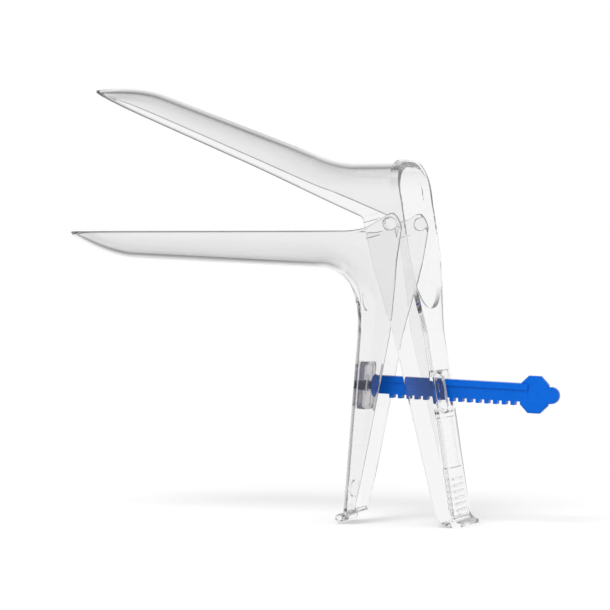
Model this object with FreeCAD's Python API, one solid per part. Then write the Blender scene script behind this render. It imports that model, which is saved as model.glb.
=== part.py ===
# Bivalve speculum of clear plastic with a toothed lock bar, all lengths in mm and angles in degrees.
# Working frame: the hinge line is Y through the origin, +X to the handles' rear, +Z up, blades towards -X.
# The finished pieces are moved together so that the part stands on Z = 0, centred over the origin.
import FreeCAD, Part
import math
import os

# Blades: the lower one lies flat, the upper one is swung open about the hinge line
rest_opening = 23.3
lower_tip_reach = 128.6
upper_tip_reach = 128.4
blade_half_width = 13.5
blade_taper = 2.6
lower_rim_drop = 2.4
upper_rim_drop = 2.0
lower_beak_depth = 9.9
upper_beak_depth = 9.1
beak_run = 26.0
beak_power = 1.75
beak_end_depth = 0.9
beak_end_half_width = 1.6
blade_flat = 0.6
lower_wall = 1.7
upper_wall = 1.7

# Lower valve: trumpet between blade and front handle, ears, handle, foot
trumpet_radius = 17.0
corner_ease_start = 25.0
flat_ease_start = 35.0
front_lean = 4.8
front_face_reach = 12.9
front_half_width = 9.2
front_corner = 2.6
front_straight_start = 38.0
front_foot_depth = 105.2
front_sole_slope = 20.0
front_sole_thickness = 1.6
front_lip_radius = 1.5
front_lip_reach = 0.6
ear_side_clearance = 0.8
ear_taper_start = 11.6
ear_flare_start = 55.0
ear_flare_end = 15.0
ear_top_height = 4.1
ear_bend = 0.6
ear_foot_reach = 18.0
ear_overreach = 2.0
ear_crown_slope = 28.0
crown_drop = 1.5
crown_inset = 0.25
ear_rear_reach = 3.9
ear_rear_lean = 9.5
rear_edge_reach = 4.7
rear_edge_lean = 11.6

# Upper valve: hood, hinge walls, rear handle, foot
hood_height = 21.8
hood_radius = 45.0
hood_seam_step = 0.25
hood_flat = 4.0
hood_corner_depth = 10.5
hood_flare_start = 52.0
hood_ease_lead = 12.0
hood_straight_start = 12.0
hood_wall_drop = 14.0
seam_slope = 15.0
seam_reach = 25.0
rear_lean = 8.6
rear_face_reach = 5.4
rear_top_half_width = 20.0
handle_side_clearance = 0.8
shoulder_start = 13.0
shoulder_end = 38.5
rear_corner = 1.4
rear_inner_corner = 0.4
rear_foot_depth = 107.0
rear_front_corner_reach = 10.2
rear_waist_reach = -1.9
rear_waist_depth = 36.7
rear_heel_reach = 13.2
rear_heel_depth = 99.6
rear_heel_radius = 7.0
rear_sole_thickness = 1.7
rear_lip_reach = 23.9
rear_lip_length = 6.0
rim_bead_side = 0.2
rim_bead_rise = 1.1
rim_bead_length = 3.0
rim_bead_leg = 19.0
window_shoulder = 22.0
window_bottom = 30.5

# Hinge: studs of the lower valve snap into holes of the upper valve along lead-in ramps
stud_radius = 2.4
stud_fit = 0.08
stud_boss_radius = 3.6
stud_boss_gap = 0.3
stud_root = 1.2
stud_end_inset = 0.15
stud_chamfer = 0.35
ramp_width = 5.6
ramp_depth = 0.9
ramp_slope = 16.0
ramp_overrun = 3.0

# Lock bar: trunnion, stub, collar, rail with teeth, knob
bar_hinge_inset = 2.3
bar_hinge_drop = 57.6
bar_slope = 2.4
trunnion_radius = 1.7
trunnion_half_length = 3.0
trunnion_fit = 0.08
stub_radius = 1.5
stub_fit = 0.2
collar_radius = 4.1
collar_start = 3.5
collar_thickness = 1.1
collar_bevel = 0.4
rail_top = 3.75
rail_height = 2.3
rail_half_width = 2.4
bar_root_drop = 2.7
bar_half_width = 1.9
tooth_drop = 4.05
tooth_pitch = 3.2
tooth_width = 1.6
tooth_count = 15
first_tooth = 10.6
knob_start = 57.9
knob_length = 10.1
knob_height = 13.2
knob_cut = 2.9
knob_half_thickness = 1.7
knob_bevel = 0.6
nub_radius = 3.0
nub_reach = 6.0

# Socket that holds the trunnion in the front handle
socket_half_width = 4.3
socket_half_height = 7.4
socket_fit = 0.1
socket_flange_margin = 1.1
socket_flange_depth = 2.9
socket_corner = 1.2
socket_swing_margin = 2.0
socket_mouth = 8.0

# Travel of the upper valve from rest, and the slot that lets the bar through the rear handle
closing_travel = 23.3
opening_travel = 16.0
slot_side_fit = 0.5
slot_lock_fit = 0.3
slot_head_fit = 0.5
slot_corner = 0.8
slot_frame_width = 2.2
slot_frame_depth = 1.6

# Moulded details of the handles
recess_half_width = 7.0
recess_start = 69.3
recess_length = 18.0
recess_depth = 0.5
recess_corner = 1.0
rib_count = 6
rib_pitch = 2.2
rib_width = 0.9
rib_height = 0.4
rib_half_width = 6.5
last_rib_height = 4.1
disc_radius = 2.8
disc_height = 0.3
disc_drop = 95.0

# Loft stations along the beaks and round the bends, and how far the straight run of a blade goes
beak_steps = 8
trumpet_steps = 8
hood_steps = 4
straight_share = 0.6

# Cutting solids reach this far past every piece, troughs past their trims and holes past walls; joined
# forms sink this far into each other
beyond = 60.0
trim_margin = 6.0
cut_margin = 1.0
thinnest_hollow = 0.25
sunk = 0.5


def vec(x, z, y=0.0):
    return FreeCAD.Vector(x, y, z)


def slope_run(angle):
    return math.tan(math.radians(angle))


def aim(angle):
    # Unit vector in the side view, measured from +X towards +Z
    return vec(math.cos(math.radians(angle)), math.sin(math.radians(angle)))


def mix(first, last, share):
    return first + (last - first) * share


def smooth(value, start, end):
    # 0 before start, 1 after end, with an easy change between them
    share = min(1.0, max(0.0, (value - start) / (end - start)))
    return share * share * (3.0 - 2.0 * share)


def swung(point, angle):
    # Turned about the hinge line, positive the way that opens the upper blade
    turn = math.radians(angle)
    return vec(point.x * math.cos(turn) + point.z * math.sin(turn),
               point.z * math.cos(turn) - point.x * math.sin(turn), point.y)


def crossing(first, first_aim, second, second_aim):
    # Where two lines of the side view meet
    gap = second - first
    facing = first_aim.x * second_aim.z - first_aim.z * second_aim.x
    return first + first_aim * ((gap.x * second_aim.z - gap.z * second_aim.x) / facing)


def frame(origin, lean):
    # Local frame with Z turned from +Z towards +X by the lean
    return FreeCAD.Placement(origin, FreeCAD.Rotation(FreeCAD.Vector(0, 1, 0), lean))


front_frame = frame(vec(-front_face_reach, 0), front_lean)
rear_frame = frame(vec(rear_face_reach, 0), -rear_lean)
rear_half_width = front_half_width + handle_side_clearance + upper_wall
ear_half_width = rear_top_half_width - upper_wall - ear_side_clearance
hood_half_width = rear_top_half_width - hood_seam_step
first_rib = rear_foot_depth - last_rib_height - (rib_count - 1) * rib_pitch - rib_width
front_arm = ear_rear_reach + front_face_reach + trim_margin
bar_hinge = front_frame.multVec(vec(bar_hinge_inset, -bar_hinge_drop))
bar_frame = frame(bar_hinge, bar_slope)
shoulder_fall = (rear_top_half_width - rear_half_width) / (shoulder_end - shoulder_start)
upper_corner = swung(vec(-rear_front_corner_reach, -upper_rim_drop), rest_opening)


def placed(shape, local):
    copy = shape.copy()
    copy.Placement = local.multiply(copy.Placement)
    return copy


def whole(shape):
    # The one solid of a finished piece, with leftover seams between flush faces removed
    solids = shape.removeSplitter().Solids
    if len(solids) != 1:
        raise ValueError("a piece fell into " + str(len(solids)) + " solids")
    return solids[0]


def side_prism(points, half_width=beyond):
    # A closed outline of the side view, carried across the width
    outline = Part.makePolygon(points + [points[0]])
    outline.translate(FreeCAD.Vector(0, -half_width, 0))
    return Part.Face(outline).extrude(FreeCAD.Vector(0, 2 * half_width, 0))


def below(point, slope):
    # Everything under a sloping line through the point
    left, right = point - aim(slope) * beyond, point + aim(slope) * beyond
    return side_prism([left, right, right - aim(90) * beyond, left - aim(90) * beyond])


def rounded_plate(start, end, half_width, low, high, radius):
    # A plate from start to end along local X with its four long edges rounded
    plate = Part.makeBox(end - start, 2 * half_width, high - low, FreeCAD.Vector(start, -half_width, low))
    corners = [e for e in plate.Edges if abs(e.tangentAt(e.FirstParameter).x) > 0.9]
    return plate.makeFillet(radius, corners)


def cross_cylinder(radius, half_length, centre=vec(0, 0)):
    return Part.makeCylinder(radius, 2 * half_length, centre - FreeCAD.Vector(0, half_length, 0),
                             FreeCAD.Vector(0, 1, 0))


def u_section(base, inward, low, high, flat, depth, arm):
    # Section of a trough: flat middle, two elliptic corners, two straight arms, closed across the top
    def place(side, rise):
        return base + FreeCAD.Vector(0, side, 0) + inward * rise

    def corner(sign):
        # A quarter ellipse, exact as a rational curve of three poles
        poles = [place(sign * flat, 0), place(sign * low, 0), place(sign * low, depth)]
        curve = Part.BSplineCurve()
        curve.buildFromPolesMultsKnots(poles, [3, 3], [0.0, 1.0], False, 2, [1.0, math.sqrt(0.5), 1.0])
        return curve.toShape()

    edges = [Part.makeLine(place(-high, arm), place(-low, depth)), corner(-1),
             Part.makeLine(place(-flat, 0), place(flat, 0)), corner(1),
             Part.makeLine(place(low, depth), place(high, arm)),
             Part.makeLine(place(high, arm), place(-high, arm))]
    return Part.Wire(Part.sortEdges(edges)[0])


class Station:
    # One place along a trough: outer middle point, inward aim, half widths, flat, corner depth, arm length
    def __init__(self, base, inward, low, high, flat, depth, arm):
        self.base, self.inward, self.low, self.high = base, inward, low, high
        self.flat, self.depth, self.arm = flat, depth, arm

    def section(self, wall=0.0):
        # The section of the outside, or of the inside when a wall is given
        longer = trim_margin / 2 if wall else 0.0
        return u_section(self.base + self.inward * wall, self.inward, self.low - wall, self.high - wall,
                         self.flat, self.depth - wall, self.arm + longer)

    def holds(self, wall):
        return min(self.depth - wall, self.low - wall - self.flat) > thinnest_hollow


def troughs(stations, wall=0.0, ruled=False):
    kept = [s for s in stations if s.holds(wall)]
    return Part.makeLoft([s.section(wall) for s in kept], True, ruled)


def trough_walls(stations, wall, trim, ends):
    # A trimmed, hollow trough, lofted run by run between the stations numbered in ends
    runs = [stations[first:last + 1] for first, last in zip([0] + ends, ends + [len(stations) - 1])]
    lofts = [troughs(run).common(trim).cut(troughs(run, wall)) for run in runs]
    return lofts[0].fuse(lofts[1:])


def beak_shares():
    # From the blade's point, 1, to the beak's start, 0, closer together towards the point
    return [math.sin(math.pi / 2 * k / beak_steps) for k in range(beak_steps, 0, -1)]


def beak_station(start, rearward, inward, full_depth, share):
    depth = mix(beak_end_depth, full_depth, 1 - share ** beak_power)
    half = mix(beak_end_half_width, blade_half_width, math.sqrt(1 - share ** 2))
    base = start - rearward * (beak_run * share) + inward * (full_depth - depth)
    return Station(base, inward, half, half, blade_flat, depth, depth + trim_margin)


def eased(value):
    # Zero below zero and the value itself above it, with a round bend of about ear_bend between them
    return (value + math.sqrt(value * value + ear_bend * ear_bend)) / 2


def ear_half(x, z):
    # Half width of the lower valve at a point of its side view: blade, flare, ear, taper to the handle
    flare = mix(blade_half_width, ear_half_width, smooth(x, -ear_flare_start, -ear_flare_end))
    taper = ear_half_width - eased(-z - ear_taper_start) * shoulder_fall
    narrow = flare - eased(flare - taper)
    return front_half_width + eased(narrow - front_half_width)


def lower_stations():
    # The lower trough from its point over the blade and round the trumpet to the straight handle
    start = vec(-lower_tip_reach + beak_run, -lower_rim_drop - lower_beak_depth)
    up = aim(90)
    stations = [beak_station(start, aim(0), up, lower_beak_depth, s) for s in beak_shares()]

    handle_aim = aim(-90 - front_lean)
    corner = crossing(start, aim(-blade_taper), vec(-front_face_reach, 0), handle_aim)
    turn = 90 + front_lean - blade_taper
    arc_start = corner - aim(-blade_taper) * (trumpet_radius * slope_run(turn / 2))
    centre = arc_start - aim(90 - blade_taper) * trumpet_radius
    blade_run = arc_start.x - start.x
    for share in (0.0, straight_share, mix(straight_share, 1.0, 0.35), mix(straight_share, 1.0, 0.7)):
        x = start.x + blade_run * share
        depth = lower_beak_depth + blade_run * share * slope_run(blade_taper)
        half = ear_half(x, 0)
        base = vec(x, -lower_rim_drop - depth)
        stations.append(Station(base, up, half, half, blade_flat, depth, depth + trim_margin))

    arc_depth = lower_beak_depth + blade_run * slope_run(blade_taper)
    for step in range(trumpet_steps + 1):
        angle = mix(blade_taper, 90 + front_lean, step / trumpet_steps)
        inward = aim(90 - angle)
        base = centre + inward * trumpet_radius
        depth = mix(arc_depth, front_corner, smooth(angle, corner_ease_start, 90))
        flat = mix(blade_flat, front_half_width - front_corner, smooth(angle, flat_ease_start, 90))
        top = (ear_top_height + ear_overreach - base.z) / inward.z if inward.z > 0.1 else beyond
        back = (ear_rear_reach + ear_overreach - base.x) / inward.x if inward.x > 0.1 else beyond
        arm = min(top, back)
        low_point = base + inward * depth
        high_point = base + inward * arm
        stations.append(Station(base, inward, ear_half(low_point.x, low_point.z),
                                ear_half(high_point.x, high_point.z), flat, depth, arm))
    stations.append(Station(front_frame.multVec(vec(0, -front_straight_start)), aim(-front_lean),
                            front_half_width, front_half_width, front_half_width - front_corner,
                            front_corner, front_arm))
    return stations


def front_channel(inset, radius):
    # The straight front handle as one block, drawn in by the inset, with its two front edges rounded
    half = front_half_width - inset
    low = front_foot_depth + trim_margin
    block = Part.makeBox(front_arm - inset, 2 * half, low - front_straight_start,
                         FreeCAD.Vector(inset, -half, -low))
    edges = [e for e in block.Edges if abs(e.CenterOfMass.x - inset) < 0.01
             and abs(e.tangentAt(e.FirstParameter).z) > 0.9]
    return placed(block.makeFillet(radius, edges), front_frame)


def lower_side_outline():
    # The lower valve's rims in the side view: blade rim, ear, rear edges of the front handle, sole
    rim = -lower_rim_drop
    slope = Part.BSplineCurve()
    rise = ear_top_height - rim
    slope.interpolate(Points=[vec(-ear_foot_reach, rim), vec(-ear_foot_reach * 0.55, rim + rise * 0.17),
                              vec(-ear_foot_reach * 0.25, rim + rise * 0.6), vec(0, ear_top_height)],
                      InitialTangent=vec(1, 0), FinalTangent=aim(ear_crown_slope))
    crown_end = vec(ear_rear_reach - crown_inset, -crown_drop)
    crown = Part.Arc(vec(0, ear_top_height), vec(ear_rear_reach * 0.7, crown_drop), crown_end)
    knee = crossing(crown_end, aim(-90 - ear_rear_lean), vec(rear_edge_reach, 0), aim(-90 - rear_edge_lean))
    toe = front_frame.multVec(vec(0, -front_foot_depth))
    heel = crossing(vec(rear_edge_reach, 0), aim(-90 - rear_edge_lean), toe, aim(front_sole_slope))
    tip_side = -lower_tip_reach - trim_margin
    far = [toe - aim(front_sole_slope) * trim_margin, vec(tip_side, -front_foot_depth), vec(tip_side, rim),
           vec(-ear_foot_reach, rim)]
    points = [crown_end, knee, heel] + far
    edges = [slope.toShape(), crown.toShape()]
    edges += [Part.makeLine(a, b) for a, b in zip(points, points[1:])]
    return Part.Wire(edges), toe


def lower_valve():
    stations = lower_stations()
    outline, toe = lower_side_outline()
    outline.translate(FreeCAD.Vector(0, -beyond, 0))
    trim = Part.Face(outline).extrude(FreeCAD.Vector(0, 2 * beyond, 0))
    under = below(toe + aim(90 + front_sole_slope) * front_sole_thickness, front_sole_slope)
    trumpet = trough_walls(stations, lower_wall, trim, [beak_steps, beak_steps + 1, len(stations) - 2])
    hollow = front_channel(lower_wall, front_corner - lower_wall).cut(under)
    straight = front_channel(0.0, front_corner).common(trim).cut(hollow)
    body = trumpet.fuse(straight)

    lip = cross_cylinder(front_lip_radius, front_half_width, toe - aim(0) * front_lip_reach)
    disc = Part.makeCylinder(disc_radius, lower_wall + disc_height, FreeCAD.Vector(0, 0, -disc_drop),
                             FreeCAD.Vector(1, 0, 0))
    window = rounded_plate(-cut_margin, lower_wall + cut_margin, socket_half_width + socket_fit,
                           -bar_hinge_drop - socket_half_height - socket_fit,
                           -bar_hinge_drop + socket_half_height + socket_fit, socket_corner)
    body = body.fuse([lip, placed(disc, front_frame)]).cut(placed(window, front_frame))
    return whole(body.fuse([stud(1), stud(-1)]))


def stud(side):
    # One hinge stud with its boss, from the ear's inside to just short of the upper valve's outside
    boss_end = rear_top_half_width - upper_wall - stud_boss_gap
    root = FreeCAD.Vector(0, ear_half_width - stud_root, 0)
    boss = Part.makeCylinder(stud_boss_radius, boss_end - root.y, root, FreeCAD.Vector(0, 1, 0))
    end = rear_top_half_width - stud_end_inset
    pin = Part.makeCylinder(stud_radius, end - root.y, root, FreeCAD.Vector(0, 1, 0))
    rim = [e for e in pin.Edges if e.isClosed() and abs(e.CenterOfMass.y - end) < 0.01]
    pair = boss.fuse(pin.makeChamfer(stud_chamfer, rim))
    return pair if side > 0 else pair.mirror(FreeCAD.Vector(), FreeCAD.Vector(0, 1, 0))


def upper_stations():
    # The upper trough from its point over the blade to the straight hood
    down = aim(-90 - rest_opening)
    rearward = aim(-rest_opening)
    start = swung(vec(-upper_tip_reach + beak_run, upper_beak_depth - upper_rim_drop), rest_opening)
    stations = [beak_station(start, rearward, down, upper_beak_depth, s) for s in beak_shares()]

    blade_aim = aim(blade_taper - rest_opening)
    corner = crossing(start, blade_aim, vec(0, hood_height), aim(0))
    turn = rest_opening - blade_taper
    arc_start = corner - blade_aim * (hood_radius * slope_run(turn / 2))
    centre = arc_start + aim(90 + blade_taper - rest_opening) * hood_radius
    run = (arc_start - start).Length
    shares = (0.0, straight_share, mix(straight_share, 1.0, 0.35), mix(straight_share, 1.0, 0.7))
    places = [start + blade_aim * (run * share) for share in shares]
    places += [centre + aim(-90 - turn * (1 - k / hood_steps)) * hood_radius for k in range(hood_steps + 1)]
    places.append(vec(-hood_straight_start, hood_height))
    arc_depth = upper_beak_depth + run * slope_run(blade_taper)
    for base in places:
        share = min(1.0, (base - start).Length / run)
        turned = smooth(base.x, arc_start.x - hood_ease_lead, -hood_straight_start)
        half = mix(blade_half_width, hood_half_width, smooth(base.x, -hood_flare_start, -hood_straight_start))
        depth = mix(mix(upper_beak_depth, arc_depth, share), hood_corner_depth, turned)
        flat = mix(blade_flat, hood_flat, turned)
        arm = depth + mix(trim_margin, hood_wall_drop, turned)
        stations.append(Station(base, aim(-90 - rest_opening * (1 - turned)), half, half, flat, depth, arm))
    return stations


def hood_station(x, lean):
    return Station(vec(x, hood_height), aim(-90 + lean), hood_half_width, hood_half_width, hood_flat,
                   hood_corner_depth, hood_corner_depth + hood_wall_drop)


def hood():
    # Upper blade and hood, as far down as the seam with the hinge walls
    blade = upper_stations()
    rear_x = rear_face_reach - hood_height * slope_run(rear_lean)
    straight = [blade[-1], hood_station(-hood_straight_start / 2, rear_lean / 2)]
    straight.append(hood_station(rear_x, rear_lean))
    past = hood_station(rear_x, rear_lean)
    past.base = past.base + aim(rear_lean) * trim_margin

    bead_base = crossing(vec(0, hood_height + rim_bead_rise), aim(0), vec(rear_face_reach, 0),
                         aim(90 + rear_lean))
    bead_half = rear_top_half_width + rim_bead_side
    bead = Part.Face(u_section(bead_base, aim(-90 + rear_lean), bead_half, bead_half, hood_flat,
                               hood_corner_depth, rim_bead_leg))
    bead = bead.extrude(aim(180 + rear_lean) * rim_bead_length)

    seam_end = upper_corner + aim(seam_slope) * seam_reach
    tip_side = swung(vec(-upper_tip_reach - trim_margin, -upper_rim_drop), rest_opening)
    above = aim(90) * beyond
    trim = side_prism([upper_corner, seam_end, seam_end + above, tip_side + above, tip_side])
    front = trough_walls(blade, upper_wall, trim, [beak_steps, beak_steps + 1])
    rear = troughs(straight, 0.0, True).fuse(bead).common(trim)
    return front.fuse(rear.cut(troughs(straight + [past], upper_wall, True)))


def rear_channel(inset, start, end, radius):
    # Hinge walls, shoulders and straight handle as one block in the rear frame, drawn in by the inset;
    # the handle's two long edges at the end face are rounded
    foot = rear_foot_depth + trim_margin
    half = [(rear_top_half_width - inset, beyond / 3), (rear_top_half_width - inset, -shoulder_start),
            (rear_half_width - inset, -shoulder_end), (rear_half_width - inset, -foot)]
    outline = [FreeCAD.Vector(start, y, z) for y, z in half]
    outline += [FreeCAD.Vector(start, -y, z) for y, z in reversed(half)]
    solid = Part.Face(Part.makePolygon(outline + [outline[0]])).extrude(FreeCAD.Vector(end - start, 0, 0))
    middle = -(shoulder_end + foot) / 2
    long_edges = [e for e in solid.Edges if abs(e.CenterOfMass.x - end) < 0.01
                  and abs(e.CenterOfMass.z - middle) < 0.01 and abs(e.CenterOfMass.y) > 1]
    return solid.makeFillet(radius, long_edges)


def slot_span():
    # Lowest and highest local Z that the bar reaches inside the slot over the whole travel
    turn_back = rear_frame.Rotation.inverted()
    heights = []
    for angle in (-closing_travel, -closing_travel / 2, 0.0, opening_travel / 2, opening_travel):
        origin = rear_frame.inverse().multVec(swung(bar_hinge, -angle))
        along = turn_back.multVec(swung(aim(-bar_slope), -angle / 2))
        across = turn_back.multVec(swung(aim(90 - bar_slope), -angle / 2))
        for edge in (rail_top, -tooth_drop):
            for plane in (-upper_wall, slot_frame_depth):
                run = (plane - origin.x - across.x * edge) / along.x
                heights.append(origin.z + across.z * edge + along.z * run)
    return min(heights) - slot_lock_fit, max(heights) + slot_head_fit


def view_window():
    # Opening of the rear face from the hood down to its round lower end
    side = rear_top_half_width - upper_wall
    sill = side - (window_shoulder - shoulder_start) * shoulder_fall
    sweep = Part.Arc(FreeCAD.Vector(0, -sill, -window_shoulder), FreeCAD.Vector(0, 0, -window_bottom),
                     FreeCAD.Vector(0, sill, -window_shoulder)).toShape()
    points = [FreeCAD.Vector(0, sill, -window_shoulder), FreeCAD.Vector(0, side, -shoulder_start),
              FreeCAD.Vector(0, side, beyond / 3), FreeCAD.Vector(0, -side, beyond / 3),
              FreeCAD.Vector(0, -side, -shoulder_start), FreeCAD.Vector(0, -sill, -window_shoulder)]
    edges = [sweep] + [Part.makeLine(a, b) for a, b in zip(points, points[1:])]
    opening = Part.Face(Part.Wire(edges)).extrude(FreeCAD.Vector(upper_wall + 2 * cut_margin, 0, 0))
    opening.translate(FreeCAD.Vector(-upper_wall - cut_margin, 0, 0))
    return placed(opening, rear_frame)


def rear_handle():
    # Hinge walls and rear handle below the seam
    seam_end = upper_corner + aim(seam_slope) * seam_reach
    waist = vec(rear_waist_reach, -rear_waist_depth)
    heel = vec(rear_heel_reach, -rear_heel_depth)
    toe = crossing(waist, heel - waist, vec(0, -rear_foot_depth), aim(0))
    back = vec(rear_lip_reach + trim_margin, -rear_foot_depth)
    trim = side_prism([upper_corner, waist, toe, back, seam_end])
    heel_edge = [e for e in trim.Edges if (e.CenterOfMass - toe).Length < 0.01]
    trim = trim.makeFillet(rear_heel_radius, heel_edge)
    outside = placed(rear_channel(0.0, -beyond, 0, rear_corner), rear_frame)
    inside = placed(rear_channel(upper_wall, -beyond - trim_margin, -upper_wall, rear_inner_corner),
                    rear_frame)
    floor = vec(0, -rear_foot_depth + rear_sole_thickness)
    under = below(floor, 0)
    body = outside.common(trim).cut(inside.cut(under)).cut(view_window())

    lip_start = rear_lip_reach - rear_lip_length
    lip = side_prism([vec(lip_start, -rear_foot_depth), vec(rear_lip_reach, -rear_foot_depth),
                      vec(rear_lip_reach, floor.z), vec(lip_start, floor.z)], rear_half_width)
    low, high = slot_span()
    slot_half = rail_half_width + slot_side_fit
    surround = rounded_plate(-sunk, slot_frame_depth, slot_half + slot_frame_width, low - slot_frame_width,
                             high + slot_frame_width, slot_corner + slot_frame_width)
    slot = rounded_plate(-upper_wall - cut_margin, slot_frame_depth + cut_margin, slot_half, low, high,
                         slot_corner)
    recess = rounded_plate(-recess_depth, cut_margin, recess_half_width, -recess_start - recess_length,
                           -recess_start, recess_corner)
    ribs = [rounded_plate(-sunk, rib_height, rib_half_width, -first_rib - k * rib_pitch - rib_width,
                          -first_rib - k * rib_pitch, rib_width * 0.45) for k in range(rib_count)]
    body = body.fuse([lip, placed(surround, rear_frame)] + [placed(r, rear_frame) for r in ribs])
    return body.cut([placed(slot, rear_frame), placed(recess, rear_frame)])


def stud_ramp(side):
    # Lead-in groove of one hinge wall, deep at the front edge and running out at the stud hole
    wall_in = rear_top_half_width - upper_wall
    length = rear_front_corner_reach + ramp_overrun
    wedge = [FreeCAD.Vector(-stud_radius, wall_in - sunk, 0), FreeCAD.Vector(-stud_radius, wall_in, 0),
             FreeCAD.Vector(-length, wall_in + ramp_depth, 0), FreeCAD.Vector(-length, wall_in - sunk, 0)]
    ramp = Part.Face(Part.makePolygon(wedge + [wedge[0]])).extrude(FreeCAD.Vector(0, 0, ramp_width))
    ramp.translate(FreeCAD.Vector(0, 0, -ramp_width / 2))
    ramp.rotate(FreeCAD.Vector(), FreeCAD.Vector(0, 1, 0), -ramp_slope)
    return ramp if side > 0 else ramp.mirror(FreeCAD.Vector(), FreeCAD.Vector(0, 1, 0))


def upper_valve():
    body = hood().fuse(rear_handle())
    hole = cross_cylinder(stud_radius + stud_fit, beyond)
    return whole(body.cut([hole, stud_ramp(1), stud_ramp(-1)]))


def bar_socket():
    middle = -bar_hinge_drop
    block = rounded_plate(0, lower_wall + sunk, socket_half_width, middle - socket_half_height,
                          middle + socket_half_height, socket_corner)
    wide = socket_half_width + socket_flange_margin
    tall = socket_half_height + socket_flange_margin
    flange = rounded_plate(lower_wall, lower_wall + socket_flange_depth, wide, middle - tall, middle + tall,
                           socket_corner + socket_flange_margin)
    bore = cross_cylinder(trunnion_radius + trunnion_fit, trunnion_half_length + trunnion_fit,
                          vec(bar_hinge_inset, middle))
    rise = front_lean - bar_slope + closing_travel / 2 + socket_swing_margin
    fall = front_lean - bar_slope - opening_travel / 2 - socket_swing_margin
    half = stub_radius + stub_fit
    start = vec(bar_hinge_inset, middle)
    mouth = side_prism([start + aim(90) * half, start + aim(90) * half + aim(rise) * socket_mouth,
                        start - aim(90) * half + aim(fall) * socket_mouth, start - aim(90) * half], half)
    return whole(placed(block.fuse(flange).cut([bore, mouth]), front_frame))


def knob():
    middle = knob_start + knob_length / 2
    wide, tall, cut = knob_length / 2, knob_height / 2, knob_cut
    corners = [(wide, tall - cut), (wide - cut, tall), (cut - wide, tall), (-wide, tall - cut),
               (-wide, cut - tall), (cut - wide, -tall), (wide - cut, -tall), (wide, cut - tall)]
    plate = side_prism([vec(middle + x, z) for x, z in corners], knob_half_thickness)
    nub = cross_cylinder(nub_radius, knob_half_thickness, vec(middle + nub_reach, 0))
    handle = whole(plate.fuse(nub))
    rims = [e for f in handle.Faces if abs(f.normalAt(0, 0).y) > 0.9 for e in f.Edges]
    return handle.makeChamfer(knob_bevel, rims)


def ratchet_bar():
    trunnion = cross_cylinder(trunnion_radius, trunnion_half_length)
    stub = Part.makeCylinder(stub_radius, collar_start + sunk, FreeCAD.Vector(), FreeCAD.Vector(1, 0, 0))
    collar = Part.makeCylinder(collar_radius, collar_thickness, FreeCAD.Vector(collar_start, 0, 0),
                               FreeCAD.Vector(1, 0, 0))
    collar = collar.makeChamfer(collar_bevel, [e for e in collar.Edges if e.isClosed()])
    start = collar_start + collar_thickness - sunk
    end = knob_start + knob_cut
    rail_low = rail_top - rail_height
    rail = Part.makeBox(end - start, 2 * rail_half_width, rail_height,
                        FreeCAD.Vector(start, -rail_half_width, rail_low))
    body = Part.makeBox(end - start, 2 * bar_half_width, rail_low + bar_root_drop,
                        FreeCAD.Vector(start, -bar_half_width, -bar_root_drop))
    teeth = [Part.makeBox(tooth_width, 2 * bar_half_width, tooth_drop - bar_root_drop + sunk,
                          FreeCAD.Vector(first_tooth + k * tooth_pitch - tooth_width / 2, -bar_half_width,
                                         -tooth_drop)) for k in range(tooth_count)]
    return placed(whole(trunnion.fuse([stub, collar, rail, body, knob()] + teeth)), bar_frame)


def main():
    os.makedirs("parts", exist_ok=True)
    pieces = {"lower_valve": lower_valve(), "upper_valve": upper_valve(), "bar_socket": bar_socket(),
              "ratchet_bar": ratchet_bar()}
    box = Part.makeCompound(list(pieces.values())).optimalBoundingBox()
    stand = FreeCAD.Vector(-box.Center.x, -box.Center.y, -box.ZMin)
    for name, shape in pieces.items():
        shape.translate(stand)
        shape.exportStep("parts/" + name + ".step")
        print(name, shape.ShapeType, len(shape.Solids), shape.isValid(), round(shape.Volume, 1))
    print("size", round(box.XLength, 2), round(box.YLength, 2), round(box.ZLength, 2))
    print("hinge line", stand.x, stand.y, stand.z)
    print("bar hinge", (bar_hinge + stand).x, (bar_hinge + stand).z)
    print("slot span", slot_span())


main()
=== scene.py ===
import math

import bmesh
import bpy
import numpy as np
from bpy.props import FloatProperty, FloatVectorProperty, PointerProperty
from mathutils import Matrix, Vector


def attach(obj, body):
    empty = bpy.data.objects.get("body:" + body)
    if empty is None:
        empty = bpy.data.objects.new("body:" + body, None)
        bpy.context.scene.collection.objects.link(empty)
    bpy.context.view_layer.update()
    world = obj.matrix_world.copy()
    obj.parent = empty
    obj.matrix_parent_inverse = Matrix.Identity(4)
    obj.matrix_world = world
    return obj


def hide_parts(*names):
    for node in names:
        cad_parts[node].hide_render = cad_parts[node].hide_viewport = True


bl_info = {
    "name": "Bivalve speculum dressing",
    "version": (1, 0, 0),
    "blender": (4, 5, 0),
    "location": "View3D > Sidebar > Speculum",
    "description": "Smooth clear shells, blue lock bar and studio for a bivalve speculum",
    "category": "Object",
}

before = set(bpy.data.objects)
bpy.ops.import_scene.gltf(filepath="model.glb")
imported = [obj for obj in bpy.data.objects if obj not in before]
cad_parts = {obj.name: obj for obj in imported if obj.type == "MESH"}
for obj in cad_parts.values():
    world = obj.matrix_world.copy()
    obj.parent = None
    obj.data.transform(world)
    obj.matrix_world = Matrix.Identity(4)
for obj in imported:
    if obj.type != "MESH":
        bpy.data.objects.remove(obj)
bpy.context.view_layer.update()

MM = 0.001
HINGE = np.array([36.0692, 0.0, 107.0])

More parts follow.
